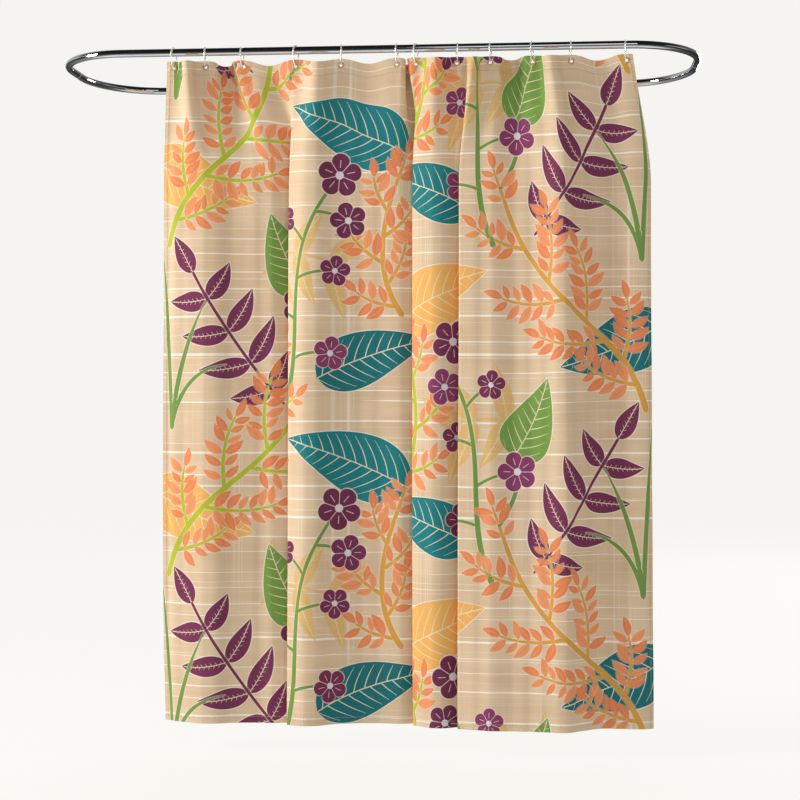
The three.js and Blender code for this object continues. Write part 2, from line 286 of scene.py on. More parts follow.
bpy.context.scene.view_settings.view_transform = "Standard"

# Hoop rail: two halves of 22 mm steel tube, bent to an oval, polished and chromed. They butt together at
# the two ends of the hoop over an inner spigot, each held by a grub screw from below.
straight_half = 0.720
tail = 0.050
seam_gap = 0.0003
seam_chamfer = 0.0008
bend_steps, run_points = 48, 60
half_length = hoop_high[0] - tube_radius
corner = (half_length - straight_half, abs(hoop_low[1] - hoop_middle_y) - tube_radius - tail)


def sweep(path, radius, sides, ends):
    """A round bar or tube along a path. ends is how its first and last stretch narrow: (along, share)."""
    path = np.array(path, float)
    steps = np.linalg.norm(np.diff(path, axis=0), axis=1)
    run = np.concatenate([[0], np.cumsum(steps)])
    tangents = np.gradient(path, axis=0)
    tangents /= np.linalg.norm(tangents, axis=1)[:, None]
    across = np.cross(tangents[0], (0, 0, 1) if abs(tangents[0][2]) < 0.9 else (1, 0, 0))
    rings = []
    for i, (point, tangent) in enumerate(zip(path, tangents)):
        across = across - tangent * (across @ tangent)
        across /= np.linalg.norm(across)
        up = np.cross(tangent, across)
        from_end = min(run[i], run[-1] - run[i])
        width = radius * np.interp(from_end, [a for a, _ in ends], [s for _, s in ends])
        turn = 2 * np.pi * np.arange(sides) / sides
        rings.append(point + width * (np.outer(np.cos(turn), across) + np.outer(np.sin(turn), up)))
    points = np.concatenate(rings)
    faces = grid_faces(len(path), sides, closed=True)
    for end, order in ((0, -1), (len(path) - 1, 1)):
        faces.append([end * sides + i for i in range(sides)][::order])
    return points, faces


def hoop_half(side):
    """Centre line of half the hoop, with close points at the seams. side is -1 in front and 1 behind."""
    start = [seam_gap / 2, seam_gap / 2 + seam_chamfer, seam_gap / 2 + 2 * seam_chamfer]
    right = [(half_length, y) for y in (*start, 0.01, 0.03)]
    for step in range(bend_steps + 1):
        angle = math.radians(90 * step / bend_steps)
        right.append((straight_half + corner[0] * math.cos(angle), tail + corner[1] * math.sin(angle)))
    run = [(x, tail + corner[1]) for x in np.linspace(straight_half, -straight_half, run_points)[1:-1]]
    outline = right + run + [(-x, y) for x, y in reversed(right)]
    return [(x, hoop_middle_y + side * y, 0.0) for x, y in outline]


def group(name, inputs, outputs):
    """A new node group with its sockets, its inputs' values and the sockets that take its results."""
    made = bpy.data.node_groups.new(name, "ShaderNodeTree")
    for direction, sockets in (("INPUT", inputs), ("OUTPUT", outputs)):
        for label, kind in sockets:
            made.interface.new_socket(name=label, in_out=direction, socket_type=f"NodeSocket{kind}")
    return made, made.nodes.new("NodeGroupInput").outputs, made.nodes.new("NodeGroupOutput").inputs


def placed(tree, made, **inputs):
    """A group placed in a material; an underscore in a word here is a space in its socket's name."""
    node = tree.nodes.new("ShaderNodeGroup")
    node.node_tree = made
    for label, value in inputs.items():
        feed(tree, node.inputs[label.replace("_", " ")], value)
    return node.outputs


def raise_bump(tree, shader, height, distance, strength):
    bump = tree.nodes.new("ShaderNodeBump")
    bump.inputs["Strength"].default_value = strength
    bump.inputs["Distance"].default_value = distance
    tree.links.new(height, bump.inputs["Height"])
    tree.links.new(bump.outputs[0], shader.inputs["Normal"])


# Handling marks: fine polishing lines along the metal, a slight haze in patches, and dried water spots.
handled_metal, given, result = group("handled_metal", (
    ("Place", "Vector"), ("Across", "Float"), ("Polish", "Float"), ("Haze", "Float"), ("Spots", "Float")), (
    ("Roughness", "Float"), ("Height", "Float"), ("Dulling", "Float")))
tree = handled_metal
patches = ramp(tree, noise(tree, given["Place"], 34, 3.0), 0.40, 0.72)
spots = ramp(tree, noise(tree, given["Place"], 330, 1.0), 0.66, 0.72)
hazed = join(tree, "MULTIPLY_ADD", patches, given["Haze"], given["Polish"])
tree.links.new(join(tree, "MULTIPLY_ADD", spots, given["Spots"], hazed), result["Roughness"])
tree.links.new(line_noise(tree, given["Across"], 2600, 2.0), result["Height"])
tree.links.new(times(tree, join(tree, "MAXIMUM", patches, spots), 0.5), result["Dulling"])


def metal_finish(name, bright, dull, across, polish, haze, spots, line_depth, seam=False, metallic=1.0):
    """Plated or plain steel. Its polishing lines cross the axis given as across; seam marks the cut ends."""
    material, tree, shader = new_finish(name, Metallic=metallic)
    place = tree.nodes.new("ShaderNodeTexCoord").outputs["Object"]
    marks = placed(tree, handled_metal, Place=place, Across=parts_of(tree, place)[across], Polish=polish,
                   Haze=haze, Spots=spots)
    colour = mix(tree, marks["Dulling"], bright, dull)
    if seam:
        bare_end = ramp(tree, apart(tree, parts_of(tree, place)["Y"], hoop_middle_y), 0.0026, 0.0010)
        tree.links.new(join(tree, "MULTIPLY_ADD", bare_end, -0.8, 1.0), shader.inputs["Metallic"])
    tree.links.new(colour, shader.inputs["Base Color"])
    tree.links.new(marks["Roughness"], shader.inputs["Roughness"])
    raise_bump(tree, shader, marks["Height"], line_depth, 0.4)
    return material


rail_chrome = metal_finish(
    "rail_chrome", (0.86, 0.87, 0.88), (0.74, 0.75, 0.77), "Z", polish=0.035, haze=0.05, spots=0.10,
    line_depth=0.00002, seam=True)
for side, half in ((-1, "front"), (1, "rear")):
    points, faces = sweep(hoop_half(side), tube_radius, 32, ((0, 0.9), (seam_chamfer, 1.0), (1, 1.0)))
    tube = link(f"rail_{half}_tube", mesh_of(f"rail_{half}_tube", points, faces), rail_chrome)
    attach(tube, "rail")
    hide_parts(f"rail_{half}_half")

# Joint: in each seam a turned steel spigot sits inside both tube ends, and two M4 grub screws from below
# clamp it. They are zinc-plated, with faint turning lines and a duller skin than the tube.
joint_steel = metal_finish(
    "joint_steel", (0.56, 0.57, 0.58), (0.40, 0.40, 0.39), "Z", polish=0.24, haze=0.14, spots=0.10,
    line_depth=0.00005)
for name in ("rail_spigot_left", "rail_spigot_right", "grub_screw_left_front", "grub_screw_left_rear",
             "grub_screw_right_front", "grub_screw_right_rear"):
    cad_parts[name].data.materials.clear()
    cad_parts[name].data.materials.append(joint_steel)

# Wire rings: one piece of 3.5 mm spring wire each, bent to a pear shape that is open in the rear leg, with
# rounded ends, and thinly chromed, so it is whiter than the tube. Each hangs through one eyelet.
wire_radius = 0.00175
ring_opening = 0.003
ring_height = 0.058
ring_top_radius, ring_bottom_radius = 0.017, 0.011
leg_points, bottom_points, top_points = 8, 28, 40
ring_turns = (16, -5, 9, 20, -8, 6, 18, -10, 8, 12, -6, 4)
ring_top = tube_radius + 0.0003 + wire_radius
ring_bottom = ring_top + 2 * wire_radius - ring_height
ring_names = [f"{i:02d}" for i in range(1, len(ring_turns) + 1)]
ring_places = []
for number in ring_names:
    low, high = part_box(f"ring_{number}")
    ring_places.append(((low[0] + high[0]) / 2, hoop_low[1] + tube_radius))


def ring_wire():
    """The wire's centre line as (toward the rear, up) points, from the opening round to the opening."""
    top, bottom = ring_top - ring_top_radius, ring_bottom + ring_bottom_radius
    lean = -math.asin((ring_top_radius - ring_bottom_radius) / (top - bottom))
    leg = np.array([(ring_bottom_radius * math.cos(lean), bottom + ring_bottom_radius * math.sin(lean)),
                    (ring_top_radius * math.cos(lean), top + ring_top_radius * math.sin(lean))])
    share = ring_opening / 2 / np.linalg.norm(leg[1] - leg[0])
    line = [leg[0] + (leg[1] - leg[0]) * (0.5 - share) * (1 - t) for t in np.linspace(0, 1, leg_points)]
    for angle in np.linspace(lean, -math.pi - lean, bottom_points)[1:]:
        line.append((ring_bottom_radius * math.cos(angle), bottom + ring_bottom_radius * math.sin(angle)))
    for angle in np.linspace(math.pi - lean, lean, top_points):
        line.append((ring_top_radius * math.cos(angle), top + ring_top_radius * math.sin(angle)))
    line += [leg[1] + (leg[0] - leg[1]) * (0.5 - share) * t for t in np.linspace(0, 1, leg_points)[1:]]
    return line


ring_chrome = metal_finish(
    "ring_chrome", (0.96, 0.96, 0.96), (0.86, 0.86, 0.86), "X", polish=0.14, haze=0.08, spots=0.08,
    line_depth=0.00002, metallic=0.45)
wire_line = ring_wire()
wire_ends = ((0, 0.45), (0.0005, 0.8), (0.0012, 1.0), (1, 1.0))
for i, number in enumerate(ring_names):
    turn = -math.radians(ring_turns[i])
    x, y = ring_places[i]
    path = [(x - u * math.sin(turn), y + u * math.cos(turn), z) for u, z in wire_line]
    points, faces = sweep(path, wire_radius, 12, wire_ends)
    ring = link(f"wire_ring_{number}", mesh_of(f"wire_ring_{number}", points, faces), ring_chrome)
    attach(ring, "curtain" if number == "01" else f"hanger_{number}")
    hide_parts(f"ring_{number}")

# Curtain cloth: one width of plain-woven polyester, 71 by 74 inches when hemmed, hung by twelve eyelets a
# set distance apart. Where two rings stand closer than that, the spare cloth folds to the front or rear.
cloth_low, cloth_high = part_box("curtain_panel")
cloth_width = 1.803
cloth_height = cloth_high[2] - cloth_low[2]
eyelet_from_side = 0.020
eyelet_from_top = 0.018
eyelet_pitch = (cloth_width - 2 * eyelet_from_side) / (len(ring_names) - 1)
fold_sides = (1, -1, -1, 1, -1, -1, 1, 1, -1, 1, -1)
ring_x = np.array([x for x, _ in ring_places])
ring_gaps = np.diff(ring_x)
front_y = ring_places[0][1]
halvings = 40
columns_per_pitch = 10
eyelet_column = 2
eyelet_row = 1
eyelets_across = eyelet_from_side + eyelet_pitch * np.arange(len(ring_names))


def ring_section(gaps):
    """The cloth's direction along the header, where each gap between two rings holds one even fold."""
    flat = 0.014
    length = eyelet_pitch - 2 * flat
    wave = np.sin(2 * np.pi * (np.arange(64) + 0.5) / 64)
    direction = np.zeros(len(cloth_steps))
    middle = cloth_steps + cloth_step / 2 - eyelet_from_side
    for i, (gap, side) in enumerate(zip(gaps, fold_sides)):
        low, high = 0.0, 2.4
        for _ in range(halvings):
            swing = (low + high) / 2
            if np.cos(swing * wave).mean() * length > gap - 2 * flat:
                low = swing
            else:
                high = swing
        along = (middle - i * eyelet_pitch - flat) / length
        inside = (along > 0) & (along < 1)
        direction[inside] = -side * swing * np.sin(2 * np.pi * along[inside])
    return direction


def walk(direction, first_x):
    """Where the cloth lies across its width: x, and y from where it starts, for each step of cloth."""
    x = first_x + np.concatenate([[0], np.cumsum(np.cos(direction) * cloth_step)[:-1]])
    y = np.concatenate([[0], np.cumsum(np.sin(direction) * cloth_step)[:-1]])
    return x, y


def smooth(value, low, high):
    t = np.clip((value - low) / (high - low), 0, 1)
    return t * t * (3 - 2 * t)


# The hanging folds from left to right: how many millimetres wide each stretch is as it hangs, and the
# cloth's direction at its end in degrees, negative where it comes forward. A tuck is cloth doubled back
# behind a fold. A fine ripple runs over all of them.
stretches = [
    (0, -20), (17, -30), (69, -22), (28, -18), (22, -8), (14, 14), (61, 4), (69, 4), (42, 14), (22, 20),
    "tuck",
    (0, -45), (28, -42), (28, -20), (22, 12), (19, 14), (56, 6), (69, 2), (50, -8), (28, 4), (28, 14),
    (14, 16), "tuck",
    (0, -44), (42, -40), (30, -10), (19, 14), (19, 10), (16, 2), "small tuck",
    (0, -18), (28, -16), (40, -16), (36, 0), (19, 4), (50, -12), (50, -20), (34, -32), (22, -4), (26, 36),
    (42, 44), (26, 20), (28, -8), (34, -14), (48, -6), (24, 18), (11, 50)]
tuck_turn = 0.022
small_tuck = 0.3


def body_section(tuck, spread):
    """The cloth's direction through all the folds, for tucks this deep, and the length of cloth used."""
    places, angles, at, last = [0.0], [stretches[0][1]], 0.0, stretches[0][1]
    for stretch in stretches[1:]:
        if isinstance(stretch, str):
            depth = tuck * (small_tuck if stretch == "small tuck" else 1.0)
            for length, angle in ((depth, 8), (tuck_turn, -172), (depth, -176)):
                at += length
                places.append(at)
                angles.append(angle)
            continue
        width, angle = stretch
        at += spread * width / 1000 / math.cos(math.radians((angle + last) / 2)) if width else tuck_turn
        places.append(at)
        angles.append(angle)
        last = angle
    ripple = 0.09 * np.sin(cloth_steps * 133 + 1.0) + 0.07 * np.sin(cloth_steps * 88 + 2.4)
    return np.radians(np.interp(cloth_steps, places, angles)) + ripple, at


cloth_step = 0.001
cloth_steps = np.arange(0, cloth_width + cloth_step, cloth_step)
header_x, header_y = walk(ring_section(ring_gaps), ring_x[0] - eyelet_from_side)
body_left, body_right = ring_x[0] - 0.022, ring_x[-1] + 0.076
tuck, spread = 0.040, 1.0
for _ in range(halvings):
    tuck += (cloth_width - body_section(tuck, spread)[1]) / 5
    body_x, body_y = walk(body_section(tuck, spread)[0], body_left)
    spread += (body_right - body_x[-1]) / 3
body_y -= body_y[-1] * (body_x - body_x[0]) / (body_x[-1] - body_x[0])
body_y -= (body_y.max() + body_y.min()) / 2


# How far down the header's shape gives way to the body's folds, and how deep the header sags between
# two rings. The sag is taken up again further down.
shape_change = (-0.10, 0.36)
wide_gap, wide_sag, narrow_sag = 0.12, 0.012, 0.006
sag_taken_up = 0.40


def hang(across, down):
    """Places points of the flat cloth (metres from its left and top edges) in the hanging curtain."""
    at_top = smooth(0, *shape_change)
    to_body = (smooth(down, *shape_change) - at_top) / (1 - at_top)
    x, y = (np.interp(across, cloth_steps, header) * (1 - to_body)
            + np.interp(across, cloth_steps, body) * to_body
            for header, body in ((header_x, body_x), (header_y, body_y)))
    sag = np.zeros_like(across)
    for gap, eyelet_at in zip(ring_gaps, eyelets_across):
        share = np.clip((across - eyelet_at) / eyelet_pitch, 0, 1)
        sag += (wide_sag if gap > wide_gap else narrow_sag) * np.sin(np.pi * share) ** 2
    sag_kept = 1 - smooth(down, 0.0, sag_taken_up)
    return np.stack([x, front_y + y, cloth_high[2] - down - sag * sag_kept], -1)


# The cloth as a grid of points, with a column and a row of points through the middle of every eyelet
between = np.linspace(eyelets_across[0], eyelets_across[-1], columns_per_pitch * len(ring_gaps) + 1)
from_edges = np.linspace(0, eyelet_from_side, eyelet_column + 1)[:-1]
across, down = np.meshgrid(
    np.concatenate([from_edges, between, cloth_width - from_edges[::-1]]),
    np.concatenate([[0], np.linspace(eyelet_from_top, cloth_height, 94)]))
hung = hang(across, down)


def let_settle(start, frames):
    """Lets the hung cloth settle under its own weight, at the length it was cut, held at its eyelets."""
    rows, columns = start.shape[:2]
    flat = np.stack([across, np.zeros_like(across), -down], -1)
    loose = link("loose_cloth", mesh_of("loose_cloth", start.reshape(-1, 3), grid_faces(rows, columns)))
    loose.shape_key_add(name="hung")
    cut = loose.shape_key_add(name="cut")
    cut.data.foreach_set("co", flat.reshape(-1))
    cut.value = 0
    held = loose.vertex_groups.new(name="held")
    for i in range(len(ring_names)):
        middle = eyelet_row * columns + eyelet_column + columns_per_pitch * i
        held.add([middle], 1.0, "REPLACE")
        beside = [middle + r * columns + c for r in (-1, 0, 1) for c in (-1, 0, 1) if r or c]
        held.add(beside, 0.4, "REPLACE")
    cloth = loose.modifiers.new("cloth", "CLOTH")
    for setting, value in (
            ("vertex_group_mass", "held"), ("pin_stiffness", 1), ("quality", 6), ("mass", 0.08),
            ("air_damping", 3), ("tension_stiffness", 40), ("compression_stiffness", 8),
            ("shear_stiffness", 4), ("bending_stiffness", 12), ("tension_damping", 10),
            ("bending_damping", 1), ("rest_shape_key", cut)):
        setattr(cloth.settings, setting, value)
    cloth.collision_settings.use_self_collision = False
    cloth.point_cache.frame_start = 1
    cloth.point_cache.frame_end = frames
    for frame_number in range(1, frames + 1):
        bpy.context.scene.frame_set(frame_number)
    settled = loose.evaluated_get(bpy.context.evaluated_depsgraph_get()).to_mesh()
    points = np.empty(len(settled.vertices) * 3)
    settled.vertices.foreach_get("co", points)
    bpy.data.objects.remove(loose)
    bpy.context.scene.frame_set(1)
    return points.reshape(start.shape)


# The settling frames, and how often the shift that they give is evened out between neighbouring points
settle_frames, evenings = 24, 6
moved = let_settle(hung, settle_frames) - hung
for _ in range(evenings):
    for axis in (0, 1):
        moved = np.moveaxis(moved, axis, 0)
        padded = np.concatenate([moved[:1], moved, moved[-1:]])
        moved = np.moveaxis((padded[:-2] + 2 * moved + padded[2:]) / 4, 0, axis)
from_eyelet = np.min([np.hypot(across - x, down - eyelet_from_top) for x in eyelets_across], axis=0)
hung = hung + moved * smooth(from_eyelet, 0.006, 0.070)[..., None]


def finer(values, parts):
    """A grid resampled through its own points with smooth curves, each step in so many parts."""
    for axis in (0, 1):
        values = np.moveaxis(values, axis, 0)
        count = len(values)
        at = np.linspace(0, count - 1, (count - 1) * parts + 1)
        i = np.clip(at.astype(int), 0, count - 2)
        t = (at - i).reshape(-1, *[1] * (values.ndim - 1))
        padded = np.concatenate([2 * values[:1] - values[1:2], values, 2 * values[-1:] - values[-2:-1]])
        a, b, c, d = (padded[i + k] for k in range(4))
        values = 0.5 * (2 * b + (c - a) * t + (2 * a - 5 * b + 4 * c - d) * t**2
                        + (3 * b - a - 3 * c + d) * t**3)
        values = np.moveaxis(values, 0, axis)
    return values


fine = finer(np.dstack([hung, across, down]), 3)
surface, flat_x, flat_y = fine[..., :3], fine[..., 3], fine[..., 4]
rows, columns = flat_x.shape
rearward = np.cross(np.gradient(surface, axis=1), np.gradient(surface, axis=0))
rearward /= np.linalg.norm(rearward, axis=-1)[..., None]
hole_radius = 0.0052


def on_cloth(across, down, behind=0.0, grid=None):
    """Where points of the flat cloth lie on the hanging one, or just behind it, or a grid's values there."""
    c = np.interp(across, flat_x[0], np.arange(columns))
    r = np.interp(down, flat_y[:, 0], np.arange(rows))
    i, j = np.clip(r.astype(int), 0, rows - 2), np.clip(c.astype(int), 0, columns - 2)
    s, t = (r - i)[..., None], (c - j)[..., None]

    def blend(values):
        upper = values[i, j] * (1 - t) + values[i, j + 1] * t
        return upper * (1 - s) + (values[i + 1, j] * (1 - t) + values[i + 1, j + 1] * t) * s

    if grid is not None:
        return blend(grid)
    return blend(surface) + np.broadcast_to(behind, np.shape(across))[..., None] * blend(rearward)


def open_eyelets(across, down):
    """Moves the points round each eyelet onto its hole's edge. Returns which faces of the grid are cloth."""
    kept = np.ones((across.shape[0] - 1, across.shape[1] - 1), bool)
    for x in eyelets_across:
        c = np.abs(across[0] - x).argmin()
        r = np.abs(down[:, 0] - eyelet_from_top).argmin()
        for step_down in (-1, 0, 1):
            for step_across in (-1, 0, 1):
                if step_down or step_across:
                    turn = math.atan2(step_down, step_across)
                    across[r + step_down, c + step_across] = x + hole_radius * math.cos(turn)
                    down[r + step_down, c + step_across] = eyelet_from_top + hole_radius * math.sin(turn)
        kept[r - 1:r + 1, c - 1:c + 1] = False
    return kept


def face_corners(grid):
    """A grid's values at the four corners of each of its faces, in the order that faces the front."""
    return np.stack([grid[1:, :-1], grid[1:, 1:], grid[:-1, 1:], grid[:-1, :-1]], 2)


def cloth_mesh(name, points, kept, flat_u, flat_v, to_rear=False):
    """A grid of cloth as a mesh, with its flat shape as its map."""
    faces = np.array([f[::-1] for f in grid_faces(*points.shape[:2])])[kept.reshape(-1)]
    used, faces = np.unique(faces, return_inverse=True)
    faces = faces.reshape(-1, 4)
    flat = np.stack([face_corners(flat_u)[kept], face_corners(flat_v)[kept]], -1)
    if to_rear:
        faces, flat = faces[:, ::-1], flat[:, ::-1]
    mesh = mesh_of(name, points.reshape(-1, 3)[used], faces)
    mesh.uv_layers.new(name="OFBake").data.foreach_set("uv", flat.reshape(-1))
    return mesh


panel_x, panel_y = flat_x.copy(), flat_y.copy()
panel_kept = open_eyelets(panel_x, panel_y)
panel_mesh = cloth_mesh("curtain_cloth", on_cloth(panel_x, panel_y), panel_kept, panel_x / cloth_width,
                        1 - panel_y / cloth_height)


# Print: an all-over repeat of plain leaves, twigs and round-petalled flowers, screen-printed in flat inks
# on the cloth before it is hemmed. It is laid out in metres from the cloth's top left corner. Each face
# of the cloth carries the outline of the motif that it shows, and the shader draws it sharp.
def dye(red, green, blue):
    return [((v / 255 + 0.055) / 1.055) ** 2.4 if v > 10 else v / 3295 for v in (red, green, blue)]


class Screen:
    """One screen of the print: for each face's corners, the half width, offset and place along a motif."""

    def __init__(self, name):
        self.name = name
        self.shape = np.zeros((rows - 1, columns - 1, 4, 3))
        self.shape[..., 0] = -1
        self.ink = np.ones((rows - 1, columns - 1, 4))
        self.ribs = np.zeros((rows - 1, columns - 1, 3))
        self.cover = np.full((rows - 1, columns - 1), -1.0)

    def window(self, low, high):
        """The block of faces that a box on the flat cloth covers."""
        left, right = np.interp((low[0], high[0]), flat_x[0], np.arange(columns))
        top, bottom = np.interp((low[1], high[1]), flat_y[:, 0], np.arange(rows))
        left, top = min(int(left), columns - 2), min(int(top), rows - 2)
        return slice(top, max(math.ceil(bottom), top + 1)), slice(left, max(math.ceil(right), left + 1))

    def put(self, where, covers, shape, ink, ribs):
        """Gives this motif the faces of a block that it covers more than the screen's other motifs do."""
        better = (covers > -0.006) & (covers > self.cover[where])
        self.cover[where][better] = covers[better]
        self.shape[where][better] = shape[better]
        self.ink[where][better] = (*ink, 1)
        self.ribs[where][better] = ribs

    def write(self, mesh):
        for part, values in (("shape", self.shape), ("ribs", self.ribs[:, :, None].repeat(4, 2))):
            data = mesh.attributes.new(f"{self.name}_{part}", "FLOAT_VECTOR", "CORNER").data
            data.foreach_set("vector", values[panel_kept].astype(np.float32).reshape(-1))
        data = mesh.attributes.new(f"{self.name}_ink", "FLOAT_COLOR", "CORNER").data
        inks = self.ink[:, :, None].repeat(4, 2)[panel_kept]
        data.foreach_set("color", inks.astype(np.float32).reshape(-1))


def bezier(*pulls):
    """A smooth line from the first point to the last, drawn toward the ones between."""
    t = np.linspace(0, 1, 41)[:, None]
    line = [np.array(p, float) + 0 * t for p in pulls]
    while len(line) > 1:
        line = [a + (b - a) * t for a, b in zip(line, line[1:])]
    return line[0]


def stroke(screen, line, half_width, ink, ribs=(0, 0, 0)):
    """Prints a band along a line: a stem, a blade or a leaf. ribs is (spacing, reach, half a midrib)."""
    half_width = np.broadcast_to(half_width, len(line))
    margin = half_width.max() + 0.007
    where = screen.window(line.min(0) - margin, line.max(0) + margin)
    corners = np.stack([face_corners(panel_x)[where], face_corners(panel_y)[where]], -1)
    places = np.concatenate([corners, corners.mean(2, keepdims=True)], 2)
    step = np.diff(line, axis=0)
    length = np.linalg.norm(step, axis=1)
    run = np.concatenate([[0], np.cumsum(length)])
    away = places[..., None, :] - line[:-1]
    along = (away * step).sum(-1) / length**2
    gap = ((away - np.clip(along, 0, 1)[..., None] * step) ** 2).sum(-1)
    nearest = np.argmin(gap, -1)
    along = np.take_along_axis(along, nearest[..., None], -1)[..., 0]
    inside = (nearest > 0) & (nearest < len(step) - 1)
    along = np.where(inside, np.clip(along, 0, 1), along)
    away = places - line[nearest]
    side = (step[nearest, 0] * away[..., 1] - step[nearest, 1] * away[..., 0]) / length[nearest]
    at = run[nearest] + along * length[nearest]
    width = np.interp(at, run, half_width) - np.maximum(0, -at) - np.maximum(0, at - run[-1])
    covers = (width - np.abs(side))[..., 4]
    screen.put(where, covers, np.stack([width, side, at], -1)[:, :, :4], ink, ribs)


def leaf(screen, base, tip, half_width, ink, bend=0.12, blunt=0.6, ribs=(0, 0, 0.0009)):
    """Prints a leaf from its base to its tip, bent to one side by a share of its length."""
    base, tip = np.array(base, float), np.array(tip, float)
    reach = tip - base
    middle = (base + tip) / 2 + bend * np.array([-reach[1], reach[0]])
    outline = half_width * np.sin(np.pi * np.linspace(0, 1, 41) ** blunt) ** 0.9
    stroke(screen, bezier(base, middle, tip), outline, ink, ribs)


def turned(direction, degrees):
    angle = math.radians(degrees)
    return np.array([direction[0] * math.cos(angle) - direction[1] * math.sin(angle),
                     direction[0] * math.sin(angle) + direction[1] * math.cos(angle)])


def along_line(line, share):
    """The point and direction at a share of a line."""
    at = share * (len(line) - 1)
    i = min(int(at), len(line) - 2)
    direction = line[i + 1] - line[i]
    return line[i] + (at - i) * direction, direction / np.linalg.norm(direction)


leaflet_length, pair_spacing = 0.064, 0.037


def twig(line, wood, inks):
    """Prints a twig with small leaves in pairs along it and one at its tip."""
    stroke(stems, line, np.linspace(0.0060, 0.0028, len(line)), wood)
    pairs = max(2, round(np.linalg.norm(np.diff(line, axis=0), axis=1).sum() / pair_spacing))
    for pair in range(pairs):
        point, direction = along_line(line, (pair + 0.8) / (pairs + 0.4))
        for side, screen in ((-1, left_leaflets), (1, right_leaflets)):
            length = leaflet_length * rng.uniform(0.75, 1.12) * (1 - 0.2 * pair / pairs)
            out = turned(direction, side * rng.uniform(40, 66))
            start = point + 0.004 * out
            leaf(screen, start, start + length * out, 0.21 * length, inks[rng.integers(len(inks))],
                 bend=0.12 * side, blunt=0.85, ribs=(0, 0, 0.0024))
    point, direction = along_line(line, 1.0)
    leaf(left_leaflets, point, point + 0.9 * leaflet_length * direction, 0.18 * leaflet_length, inks[0],
         blunt=0.85, ribs=(0, 0, 0.0024))


def branch(line, twigs, wood, inks):
    """Prints a main branch and its twigs, each as (share along it, turn in degrees, length)."""
    stroke(stems, line, np.linspace(0.0085, 0.0062, len(line)), wood)
    for share, turn, length in twigs:
        point, direction = along_line(line, share)
        out = turned(direction, turn)
        bow = turned(direction, 0.3 * turn)
        twig(bezier(point, point + 0.55 * length * out, point + 0.6 * length * out + 0.4 * length * bow),
             wood, inks)


def bloom(place, radius, turn):
    """Prints one flower. Its faces carry their place in a circle of radius one, and the flower's radius."""
    where = blooms.window(place - radius - 0.007, place + radius + 0.007)
    corners = np.stack([face_corners(panel_x)[where], face_corners(panel_y)[where]])
    local = np.moveaxis(turned(corners - place[:, None, None, None], turn), 0, -1) / radius
    covers = radius * (1.05 - np.linalg.norm(local.mean(2), axis=-1))
    shape = np.concatenate([local, np.full((*local.shape[:3], 1), radius)], -1)
    blooms.put(where, covers, shape, plums[rng.integers(len(plums))], (0, 0, 0))


def flowering(line, twigs, wood):
    """Prints a stem whose side stalks end in flowers, each as (share, turn in degrees, length, radius)."""
    stroke(stems, line, np.linspace(0.0085, 0.0045, len(line)), wood)
    for share, turn, length, radius in twigs:
        point, direction = along_line(line, share)
        out = turned(direction, turn)
        bow = turned(direction, 1.5 * turn)
        stalk = bezier(point, point + 0.5 * length * out, point + 0.5 * length * (out + bow))
        stroke(stems, stalk, np.linspace(0.0046, 0.0034, len(stalk)), wood)
        bloom(stalk[-1], radius, rng.uniform(0, 72))


sprigs, stems, leaves = Screen("sprigs"), Screen("stems"), Screen("leaves")
left_leaflets, right_leaflets, blooms = Screen("left_leaflets"), Screen("right_leaflets"), Screen("blooms")
rng = np.random.default_rng(7)
ochre, pale_ochre, mustard = dye(238, 178, 96), dye(222, 178, 100), dye(216, 158, 66)
lime, corals = dye(178, 190, 44), (dye(240, 126, 84), dye(246, 146, 104))
grass, moss = dye(114, 150, 70), dye(118, 156, 70)
plum, plums = dye(120, 44, 84), (dye(120, 42, 82), dye(136, 56, 100), dye(112, 40, 76))
teal, deep_teal = dye(0, 124, 130), dye(0, 112, 118)

# The design is one repeat, half as wide and half as high as the cloth. The right-hand column of repeats is
# turned over and dropped by half a repeat, as in any half-drop print, and its leaves change inks.
repeat_height = cloth_height / 2


